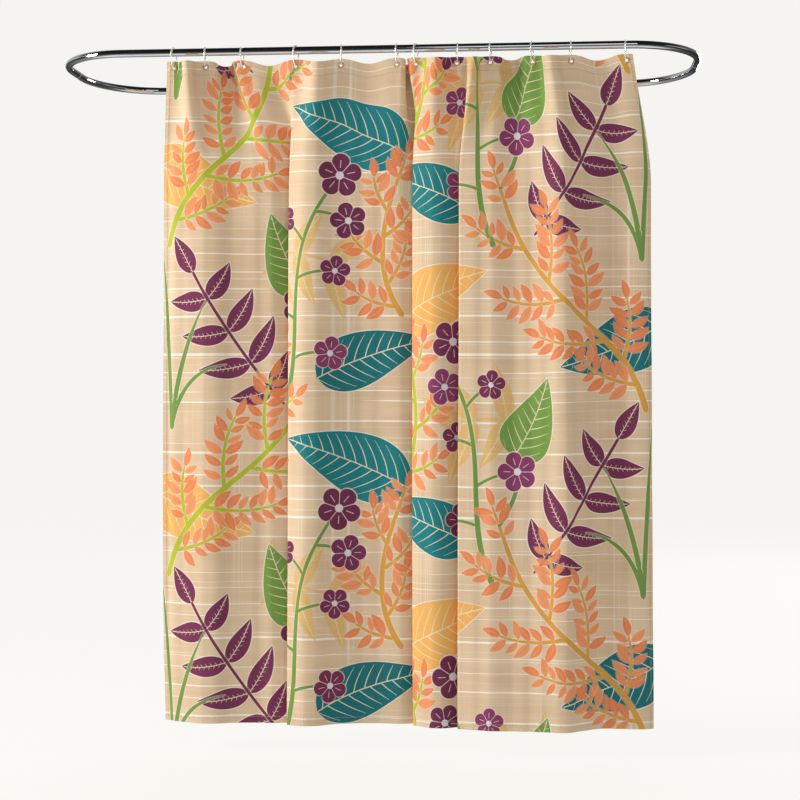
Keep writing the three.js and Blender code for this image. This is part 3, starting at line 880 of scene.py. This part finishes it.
def print_repeat(left, top, flip, broad_inks, woods):
    """Prints one repeat from its outer top corner. flip is -1 where it is turned over."""

    def at(*spots):
        return [(left + flip * x, top + y) for x, y in spots]

    def turns(*offshoots):
        return [(share, flip * turn, *rest) for share, turn, *rest in offshoots]

    stalk = bezier(*at((0.30, 0.60), (0.46, 0.50), (0.66, 0.58)))
    stroke(sprigs, stalk, 0.0042, pale_ochre)
    for i, share in enumerate(np.linspace(0.15, 0.95, 4)):
        point, direction = along_line(stalk, share)
        for side in (-1, 1):
            out = turned(direction, side * (74 - 6 * i))
            leaf(sprigs, point, point + rng.uniform(0.13, 0.17) * out, 0.029, pale_ochre, bend=0.06 * side,
                 ribs=(0.018, 0.34, 0.0012))

    # Broad leaves with close ribs, and a heart-shaped one that hangs from its own stalk
    for base, tip, half_width, ink, bend in (((-0.05, 0.27), (0.28, 0.40), 0.086, broad_inks[0], 0.08),
                                             ((0.86, 0.27), (0.50, 0.13), 0.092, broad_inks[1], 0.06),
                                             ((0.60, 0.90), (0.93, 0.79), 0.078, broad_inks[2], -0.08)):
        leaf(leaves, *at(base, tip), half_width, ink, bend=flip * bend, ribs=(0.033, 0.88, 0.0015))
    stroke(stems, bezier(*at((0.46, 0.84), (0.38, 0.72), (0.42, 0.64))), 0.0058, grass)
    leaf(leaves, *at((0.42, 0.65), (0.32, 0.43)), 0.074, moss, bend=-0.08 * flip, blunt=0.5,
         ribs=(0.030, 0.80, 0.0014))

    # A plum frond with leaves in pairs, and a tuft of grass blades
    frond = bezier(*at((0.36, 0.97), (0.24, 0.84), (0.10, 0.60)))
    stroke(stems, frond, 0.0042, plum)
    for share, length in ((0.14, 0.12), (0.38, 0.15), (0.62, 0.14), (0.84, 0.12), (1.0, 0.12)):
        point, direction = along_line(frond, share)
        for side in (-1, 1) if share < 1 else (0,):
            leaf(leaves, point, point + length * turned(direction, side * 62), 0.029, plum, bend=0.10 * side,
                 blunt=0.7, ribs=(0.014, 0.30, 0.0011))
    for knee, tip, half_width in (((0.02, 0.80), (0.00, 0.56), 0.0072), ((0.05, 0.84), (0.14, 0.68), 0.0080),
                                  ((0.06, 0.88), (0.20, 0.86), 0.0066)):
        blade = bezier(*at((0.03, 1.04), knee, tip))
        taper = np.interp(np.linspace(0, 1, len(blade)), [0, 0.6, 1], [1, 0.8, 0.12])
        stroke(stems, blade, half_width * taper, grass)

    # A flowering stem, and two coral-leaved branches
    flowering(bezier(*at((0.48, 1.00), (0.58, 0.80), (0.46, 0.60), (0.64, 0.36))), turns(
        (0.26, 62, 0.12, 0.048), (0.44, -58, 0.13, 0.056), (0.62, 58, 0.12, 0.044), (0.78, -54, 0.10, 0.042),
        (0.90, 60, 0.10, 0.052), (1.0, 0, 0.04, 0.062)), grass)
    branch(bezier(*at((0.02, 0.52), (0.08, 0.26), (0.34, 0.26), (0.44, -0.04))), turns(
        (0.10, 58, 0.18), (0.22, -56, 0.18), (0.34, 58, 0.22), (0.46, -58, 0.22), (0.60, 56, 0.20),
        (0.70, -56, 0.22), (0.86, 50, 0.16), (1.0, 0, 0.12)), woods[0], corals)
    branch(bezier(*at((0.84, 0.72), (0.74, 0.58), (0.82, 0.36))), turns(
        (0.08, -56, 0.13), (0.28, 54, 0.15), (0.46, -56, 0.15), (0.66, 54, 0.13), (0.84, -50, 0.11),
        (1.0, 0, 0.10)), woods[1], corals)


for left, drop, flip, broad_inks, woods in (
        (0, 0, 1, (ochre, teal, deep_teal), (lime, mustard)),
        (cloth_width, 0.5, -1, (deep_teal, ochre, teal), (mustard, lime))):
    for row in (-1, 0, 1):
        print_repeat(left, (row + drop) * repeat_height, flip, broad_inks, woods)
for screen in (sprigs, stems, leaves, left_leaflets, right_leaflets, blooms):
    screen.write(panel_mesh)

# Inks, as node groups: a motif along a line with its pale outline and ribs, and a five-petalled flower
inked_line, given, result = group("inked_line", (
    ("Under", "Color"), ("Shape", "Vector"), ("Ink", "Color"), ("Ribs", "Vector"), ("Rib Colour", "Color"),
    ("Cover", "Float"), ("Outline", "Float")), (("Colour", "Color"),))
tree = inked_line
half, offset, at = parts_of(tree, given["Shape"])
rib_spacing, rib_reach, midrib = parts_of(tree, given["Ribs"])
from_middle = join(tree, "ABSOLUTE", offset)
inside = join(tree, "SUBTRACT", half, from_middle)
body = times(tree, ramp(tree, inside, -0.0005, 0.0005), given["Cover"])
outline = times(tree, ramp(tree, inside, -0.0034, -0.0024), given["Outline"])
curl = times(tree, times(tree, from_middle, from_middle), 5.0)
swept = join(tree, "MULTIPLY_ADD", from_middle, 0.55, curl)
turn = join(tree, "DIVIDE", join(tree, "SUBTRACT", at, swept), rib_spacing)
turn = join(tree, "ADD", turn, times(tree, join(tree, "GREATER_THAN", offset, 0.0), 0.5))
from_rib = times(tree, apart(tree, join(tree, "FRACT", turn), 0.5), rib_spacing)
reach_left = join(tree, "SUBTRACT", times(tree, half, rib_reach), from_middle)
rib_width = join(tree, "MULTIPLY_ADD", ramp(tree, reach_left, 0.0, 0.030), 0.0010, 0.0006)
rib = join(tree, "LESS_THAN", from_rib, rib_width)
rib = times(tree, rib, join(tree, "GREATER_THAN", reach_left, 0.0))
midrib_width = times(tree, midrib, ramp(tree, half, 0.001, 0.008))
lines = join(tree, "MAXIMUM", rib, join(tree, "LESS_THAN", from_middle, midrib_width))
motif = mix(tree, times(tree, lines, 0.88), given["Ink"], given["Rib Colour"])
outlined = mix(tree, outline, given["Under"], dye(242, 230, 208))
tree.links.new(mix(tree, body, outlined, motif), result["Colour"])

inked_flower, given, result = group(
    "inked_flower", (("Under", "Color"), ("Shape", "Vector"), ("Ink", "Color")), (("Colour", "Color"),))
tree = inked_flower
flower_x, flower_y, radius = parts_of(tree, given["Shape"])
printed_here = join(tree, "GREATER_THAN", radius, 0.0)
squares = join(tree, "MULTIPLY_ADD", flower_x, flower_x, times(tree, flower_y, flower_y))
outward = join(tree, "SQRT", squares)
turn = times(tree, join(tree, "ARCTAN2", flower_y, flower_x), 2.5)
lobe = join(tree, "ABSOLUTE", join(tree, "COSINE", turn))
petal_edge = join(tree, "MULTIPLY_ADD", join(tree, "POWER", lobe, 0.42), 0.46, 0.54)
inside = join(tree, "SUBTRACT", petal_edge, outward)
petal = times(tree, ramp(tree, inside, -0.012, 0.012), printed_here)
outline = times(tree, ramp(tree, inside, -0.075, -0.050), printed_here)
between_petals = join(tree, "LESS_THAN", times(tree, lobe, outward), 0.045)
from_crease = times(tree, join(tree, "ABSOLUTE", join(tree, "SINE", turn)), outward)
crease = times(tree, join(tree, "LESS_THAN", from_crease, 0.045), join(tree, "COMPARE", outward, 0.53, 0.18))
flower_lines = times(tree, join(tree, "MAXIMUM", between_petals, crease), 0.8)
petals = mix(tree, flower_lines, given["Ink"], dye(238, 206, 208))
petals = mix(tree, ramp(tree, outward, 0.20, 0.17), petals, dye(222, 214, 216))
outlined = mix(tree, times(tree, outline, 0.6), given["Under"], dye(238, 218, 206))
tree.links.new(mix(tree, petal, outlined, petals), result["Colour"])

# Ground: sand-coloured cloth with pale lines across it, printed like slubs, and a few faint upright ones
lined_ground, given, result = group(
    "lined_ground", (("Flat", "Vector"), ("Ground", "Color"), ("Line", "Color")), (("Colour", "Color"),))
tree = lined_ground
ground_x, ground_y, _ = parts_of(tree, given["Flat"])


def stretched(tree, place, *scales):
    node = tree.nodes.new("ShaderNodeVectorMath")
    node.operation = "MULTIPLY"
    node.inputs[1].default_value = scales
    tree.links.new(place, node.inputs[0])
    return node.outputs[0]


bowed = join(tree, "MULTIPLY_ADD", noise(tree, given["Flat"], 1.6, 1.0), 0.016, ground_y)
colour = mix(tree, ramp(tree, noise(tree, stretched(tree, given["Flat"], 3, 12, 1), 1.0, 3.0), 0.35, 0.65),
             given["Ground"], dye(217, 188, 153))
for spacing, thickest, strength, seed in ((0.047, 0.0036, 0.88, 3.0), (0.0305, 0.0016, 0.45, 40.0)):
    place = join(tree, "DIVIDE", bowed, spacing)
    row = join(tree, "ADD", join(tree, "FLOOR", place), seed)
    drawn = tree.nodes.new("ShaderNodeTexWhiteNoise")
    drawn.noise_dimensions = "1D"
    tree.links.new(row, drawn.inputs["W"])
    luck, shift, weight = parts_of(tree, drawn.outputs["Color"])
    centre = join(tree, "MULTIPLY_ADD", shift, 0.6, 0.2)
    from_line = times(tree, apart(tree, join(tree, "FRACT", place), centre), spacing)
    fade_place = join(tree, "MULTIPLY_ADD", row, 17.3, times(tree, ground_x, 1.3))
    fade = join(tree, "MULTIPLY_ADD", luck, 0.30, line_noise(tree, fade_place, 1.0))
    width = join(tree, "MULTIPLY_ADD", times(tree, weight, weight), 0.7, 0.3)
    width = times(tree, times(tree, width, thickest), ramp(tree, fade, 0.46, 0.60))
    line = ramp(tree, join(tree, "SUBTRACT", width, from_line), -0.0003, 0.0006)
    colour = mix(tree, times(tree, line, strength), colour, given["Line"])
streaks = line_noise(tree, join(tree, "ADD", ground_x, 4.4), 22)
patches = ramp(tree, noise(tree, stretched(tree, given["Flat"], 5, 1.2, 1), 1.0, 1.0), 0.46, 0.60)
upright = times(tree, ramp(tree, apart(tree, streaks, 0.5), 0.010, 0.006), patches)
colour = mix(tree, times(tree, upright, 0.38), colour, given["Line"])
tree.links.new(colour, result["Colour"])

# Weave: the rise and fall of a plain weave, and the uneven thickness of its threads
plain_weave, given, result = group(
    "plain_weave", (("Flat", "Vector"), ("Pitch", "Float")), (("Height", "Float"), ("Slub", "Float")))
tree = plain_weave
warp_at, weft_at, _ = parts_of(tree, given["Flat"])
warp = join(tree, "SINE", times(tree, join(tree, "DIVIDE", warp_at, given["Pitch"]), math.pi))
weft = join(tree, "SINE", times(tree, join(tree, "DIVIDE", weft_at, given["Pitch"]), math.pi))
tree.links.new(times(tree, warp, weft), result["Height"])
weft_slub = noise(tree, stretched(tree, given["Flat"], 14, 520, 1), 1.0, 3.0)
warp_slub = noise(tree, stretched(tree, given["Flat"], 560, 10, 1), 1.0, 3.0)
tree.links.new(times(tree, join(tree, "ADD", weft_slub, warp_slub), 0.5), result["Slub"])

# Sewing: how far a place is from a line of stitches, the puckers the thread draws across it, and painted
# shade
sewn_line, given, result = group(
    "sewn_line", (("Away", "Float"), ("Along", "Float")), (("Pucker", "Float"), ("Shade", "Float")))
tree = sewn_line
closeness = ramp(tree, join(tree, "ABSOLUTE", given["Away"]), 0.009, 0.0)
gathers = line_noise(tree, given["Along"], 130, 2.0)
tree.links.new(times(tree, closeness, gathers), result["Pucker"])
# Shade is painted shade: a darkening of the cloth's colour close along the line of stitches
tree.links.new(ramp(tree, join(tree, "ABSOLUTE", given["Away"]), 0.0022, 0.0004), result["Shade"])

header_height, bottom_hem_height, side_hem_width = 0.042, 0.020, 0.012
header_stitch = header_height - 0.003
bottom_stitch = bottom_hem_height - 0.002
side_stitch = side_hem_width - 0.002
seams = (("top", header_stitch), ("bottom", bottom_stitch), ("left", side_stitch), ("right", side_stitch))


def ink_of(tree, screen, part, output):
    node = tree.nodes.new("ShaderNodeAttribute")
    node.attribute_name = f"{screen}_{part}"
    return node.outputs[output]


def cloth_finish(name, size, stitched, printed=False):
    """Woven polyester of a flat size, with lines of stitches at set distances: (edge, from it)."""
    material, tree, shader = new_finish(
        name, Specular_IOR_Level=0.28, Sheen_Weight=0.05, Sheen_Roughness=0.4)
    flat_map = tree.nodes.new("ShaderNodeUVMap")
    flat_map.uv_map = "OFBake"
    flat = stretched(tree, flat_map.outputs[0], *size, 0)
    flat_across, flat_up, _ = parts_of(tree, flat)
    sand, cream = dye(224, 197, 163), dye(250, 240, 222)
    colour = placed(tree, lined_ground, Flat=flat, Ground=sand, Line=cream)["Colour"]
    if printed:
        for screen, cover, outline, rib_colour in (
                ("sprigs", 0.78, 0.0, dye(240, 216, 160)), ("leaves", 1.0, 0.75, dye(240, 224, 190)),
                ("stems", 1.0, 0.30, lime), ("left_leaflets", 0.96, 0.25, mustard),
                ("right_leaflets", 0.96, 0.25, mustard)):
            colour = placed(
                tree, inked_line, Under=colour, Shape=ink_of(tree, screen, "shape", "Vector"),
                Ink=ink_of(tree, screen, "ink", "Color"), Ribs=ink_of(tree, screen, "ribs", "Vector"),
                Rib_Colour=rib_colour, Cover=cover, Outline=outline)["Colour"]
        colour = placed(tree, inked_flower, Under=colour, Shape=ink_of(tree, "blooms", "shape", "Vector"),
                        Ink=ink_of(tree, "blooms", "ink", "Color"))["Colour"]
    weave = placed(tree, plain_weave, Flat=flat, Pitch=0.0007)
    worn = mix(tree, 0.10, colour, (0.22, 0.14, 0.08))
    colour = mix(tree, ramp(tree, weave["Slub"], 0.30, 0.62), worn, colour)
    height = join(tree, "MULTIPLY_ADD", weave["Height"], 0.12, times(tree, weave["Slub"], 0.3))
    edges = {"left": (flat_across, flat_up), "bottom": (flat_up, flat_across),
             "right": (join(tree, "SUBTRACT", size[0], flat_across), flat_up),
             "top": (join(tree, "SUBTRACT", size[1], flat_up), flat_across)}
    for edge, distance in stitched:
        from_edge, along = edges[edge]
        sewn = placed(tree, sewn_line, Away=join(tree, "SUBTRACT", from_edge, distance), Along=along)
        height = join(tree, "ADD", height, times(tree, sewn["Pucker"], 6.0))
        # Painted shade: the cloth's colour is darkened close along each line of stitches
        colour = mix(tree, times(tree, sewn["Shade"], 0.30), colour, (0.30, 0.20, 0.12))
    back = tree.nodes.new("ShaderNodeNewGeometry").outputs["Backfacing"]
    colour = mix(tree, times(tree, back, 0.55), colour, dye(232, 214, 188))
    tree.links.new(colour, shader.inputs["Base Color"])
    tree.links.new(join(tree, "MULTIPLY_ADD", weave["Slub"], 0.14, 0.66), shader.inputs["Roughness"])
    raise_bump(tree, shader, height, 0.0005, 0.5)
    return material


def hang_cloth(name, mesh, finish, flat, *stands_for, slot="printed_cloth"):
    """A piece of cloth that hangs from the rings, parented to the curtain's body."""
    mesh.materials.append(finish)
    piece = link(name, mesh)
    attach(piece, "curtain")
    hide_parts(*stands_for)
    gather(piece)


def gather(piece):
    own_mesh(piece)


panel_finish = cloth_finish("printed_polyester", (cloth_width, cloth_height), seams, printed=True)
hang_cloth("curtain_cloth", panel_mesh, panel_finish, (cloth_width, cloth_height), "curtain_panel")

# Hems: the same cloth turned to the back along all four edges and sewn down, 42 mm deep at the top to
# carry the eyelets, 20 mm at the bottom and 12 mm at the sides. Each has its own fold and turned-in edge.
hem_behind = 0.0011


def turned_edge(depth, inner_step):
    """A hem's section from the fold: how far in from the cloth's edge, and how far behind it."""
    lip = [(0.0004, 0.0), (0.0, 0.00025), (0.0, 0.00085), (0.0004, hem_behind)]
    inner = [(at, hem_behind) for at in np.arange(inner_step, depth - inner_step / 2, inner_step)]
    return np.array(lip + inner + [(depth - 0.0006, hem_behind), (depth, 0.0009), (depth, 0.0005),
                                   (depth - 0.0005, 0.0002)])


def in_from(edge, along, inward):
    """Flat places so far along an edge of the cloth and so far in from it."""
    return {"top": (along, inward), "bottom": (along, cloth_height - inward), "left": (inward, along),
            "right": (cloth_width - inward, along)}[edge]


for name, stands_for, edge, depth, stitch in (
        ("header_hem", "header_band", "top", header_height, header_stitch),
        ("bottom_hem_fold", "bottom_hem", "bottom", bottom_hem_height, bottom_stitch),
        ("left_hem_fold", "side_hem_left", "left", side_hem_width, side_stitch),
        ("right_hem_fold", "side_hem_right", "right", side_hem_width, side_stitch)):
    section = turned_edge(depth, 0.006)
    level = edge in ("top", "bottom")
    along, total = (flat_x[0], cloth_width) if level else (flat_y[:, 0], cloth_height)
    if edge == "top":
        section = np.concatenate([section[:4], [(y, hem_behind) for y in flat_y[1:6, 0]], section[-6:]])
    along_grid, in_grid = np.meshgrid(along, section[:, 0])
    behind = np.broadcast_to(section[:, 1][:, None], in_grid.shape)
    kept = np.ones((in_grid.shape[0] - 1, in_grid.shape[1] - 1), bool)
    if edge == "top":
        kept = open_eyelets(along_grid, in_grid)
    run = np.concatenate([[0], np.cumsum(np.linalg.norm(np.diff(section, axis=0), axis=1))])
    map_in = np.broadcast_to((run / run[-1])[:, None], in_grid.shape)
    mesh = cloth_mesh(name, on_cloth(*in_from(edge, along_grid, in_grid), behind), kept, along_grid / total,
                      1 - map_in, to_rear=edge in ("top", "right"))
    finish = cloth_finish(name + "_polyester", (total, depth), (("top", stitch),))
    hang_cloth(name, mesh, finish, (total, depth), stands_for, slot="cloth_backing")

# Eyelets: twelve buttonhole-stitched holes through both layers of the header, about 18 mm across. Close
# turns of tan thread run over the edge of a 10 mm hole in the cloth and back behind it, round a cord.
thread_radius = 0.00042
eyelet_turns = 40
eyelet_outer, eyelet_inner = 0.0090, 0.0046
front_rise, rear_rise, crown = -0.0007, hem_behind + 0.0007, 0.0003
cord_share, cord_points = 0.86, 48
tube_sides = 5

twisted_thread, given, result = group(
    "twisted_thread", (("Place", "Vector"), ("Light", "Color"), ("Dark", "Color")),
    (("Colour", "Color"), ("Height", "Float"), ("Roughness", "Float")))
tree = twisted_thread
fibres = noise(tree, given["Place"], 2600, 2.0)
lots = noise(tree, given["Place"], 160, 1.0)
shade = join(tree, "MULTIPLY_ADD", fibres, 0.6, times(tree, lots, 0.4))
tree.links.new(mix(tree, ramp(tree, shade, 0.34, 0.62), given["Dark"], given["Light"]), result["Colour"])
tree.links.new(fibres, result["Height"])
tree.links.new(join(tree, "MULTIPLY_ADD", fibres, 0.2, 0.5), result["Roughness"])


def thread_finish(name, light, dark):
    material, tree, shader = new_finish(name, Sheen_Weight=0.2)
    place = tree.nodes.new("ShaderNodeTexCoord").outputs["Object"]
    thread = placed(tree, twisted_thread, Place=place, Light=light, Dark=dark)
    tree.links.new(thread["Colour"], shader.inputs["Base Color"])
    tree.links.new(thread["Roughness"], shader.inputs["Roughness"])
    raise_bump(tree, shader, thread["Height"], 0.0001, 0.6)
    return material


tan_thread = thread_finish("tan_thread", dye(224, 190, 150), dye(182, 142, 102))


def closed_tube(stations, sides):
    """The faces of a tube whose end meets its start."""
    last = sides * (stations - 1)
    return grid_faces(stations, sides, closed=True) + [
        (last + i, last + (i + 1) % sides, (i + 1) % sides, i) for i in range(sides)]


def tubes(routes, outward, radii, closed):
    """Tubes along many routes of as many points, each point with its own outward direction and radius."""
    sides = tube_sides
    tangent = np.roll(routes, -1, 1) - np.roll(routes, 1, 1) if closed else np.gradient(routes, axis=1)
    tangent /= np.linalg.norm(tangent, axis=-1)[..., None]
    beside = np.cross(tangent, outward)
    beside /= np.linalg.norm(beside, axis=-1)[..., None]
    upward = np.cross(beside, tangent)
    turn = 2 * np.pi * np.arange(sides) / sides
    round_it = np.cos(turn)[:, None] * upward[:, :, None] + np.sin(turn)[:, None] * beside[:, :, None]
    points = routes[:, :, None] + np.asarray(radii)[..., None, None] * round_it
    count, stations = routes.shape[:2]
    if closed:
        faces = closed_tube(stations, sides)
    else:
        faces = grid_faces(stations, sides, closed=True)
        faces += [tuple(range(sides))[::-1], tuple(range(sides * (stations - 1), sides * stations))]
    points_each = stations * sides
    return points.reshape(-1, 3), [tuple(n * points_each + i for i in f) for n in range(count) for f in faces]


# A turn of thread: how far from the eyelet's middle and how far behind the cloth, round the cord
turn_section = np.array([
    (0.0052, front_rise), (0.0066, front_rise - crown), (0.0082, front_rise), (eyelet_outer, 0.0),
    (eyelet_outer, hem_behind), (0.0082, rear_rise), (0.0066, rear_rise + crown), (0.0052, rear_rise),
    (eyelet_inner, hem_behind), (eyelet_inner, 0.0)])
away = turn_section - turn_section.mean(0)
cord_section = turn_section.mean(0) + cord_share * away
for number, x in zip(ring_names, eyelets_across):
    spot = np.array([[x]]), np.array([[eyelet_from_top]])
    middle = on_cloth(*spot)[0, 0]
    rear = on_cloth(*spot, grid=rearward)[0, 0]
    level = np.cross(rear, (0, 0, 1.0))
    level /= np.linalg.norm(level)
    lift = np.cross(level, rear)
    routes, outs = [], []
    for k in range(eyelet_turns):
        spoke = 2 * math.pi * (k + 0.5 * (rng.uniform() - 0.5)) / eyelet_turns
        out = math.cos(spoke) * level + math.sin(spoke) * lift
        loosened = turn_section * (1 + np.array([0.025, 0.06]) * rng.uniform(-1, 1))
        routes.append(middle + loosened[:, :1] * out + loosened[:, 1:] * rear)
        outs.append(away[:, :1] * out + away[:, 1:] * rear)
    points, faces = tubes(np.array(routes), np.array(outs), np.full(len(turn_section), thread_radius), True)
    spokes = 2 * np.pi * np.arange(cord_points) / cord_points
    around = np.cos(spokes)[:, None] * level + np.sin(spokes)[:, None] * lift
    cord = middle + cord_section[None, :, :1] * around[:, None] + cord_section[None, :, 1:] * rear
    wrapped = closed_tube(cord_points, len(cord_section))
    faces += [tuple(len(points) + i for i in f[::-1]) for f in wrapped]
    mesh = mesh_of(f"stitched_eyelet_{number}", np.concatenate([points, cord.reshape(-1, 3)]), faces)
    eyelet = link(f"stitched_eyelet_{number}", mesh, tan_thread)
    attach(eyelet, "curtain" if number == "01" else f"hanger_{number}")
    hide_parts(f"eyelet_{number}")

# Stitching: a lockstitch line of sand-coloured thread along each hem, about 3 mm of thread every 4 mm,
# seen on both faces of the cloth. Each stitch is a short thread that dips into the cloth at its ends.
stitch_pitch, stitch_length = 0.004, 0.0031
sewing_radius = 0.00028
station_at = np.array([0.0, 0.18, 0.5, 0.82, 1.0])
station_rise = np.array([-0.5, 0.7, 1.0, 0.7, -0.5]) * sewing_radius
station_width = np.array([0.4, 0.95, 1.1, 0.95, 0.4]) * sewing_radius
sand_thread = thread_finish("sand_thread", dye(236, 212, 176), dye(190, 156, 116))
for edge, distance in seams:
    name = "header_stitching" if edge == "top" else f"{edge}_stitching"
    total = cloth_width if edge in ("top", "bottom") else cloth_height
    starts = np.arange(0.004, total - 0.006, stitch_pitch)
    along = starts[:, None] + stitch_length * station_at
    beside = np.full_like(along, distance) + 0.0002 * np.sin(900 * starts)[:, None]
    spots = in_from(edge, along, beside)
    rear = on_cloth(*spots, grid=rearward)
    front_points, front_faces = tubes(on_cloth(*spots, -station_rise), -rear, station_width, False)
    rear_points, rear_faces = tubes(on_cloth(*spots, hem_behind + station_rise), rear, station_width, False)
    faces = front_faces + [tuple(len(front_points) + i for i in f) for f in rear_faces]
    seam = link(name, mesh_of(name, np.concatenate([front_points, rear_points]), faces), sand_thread)
    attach(seam, "curtain")
    gather(seam)

low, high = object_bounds()
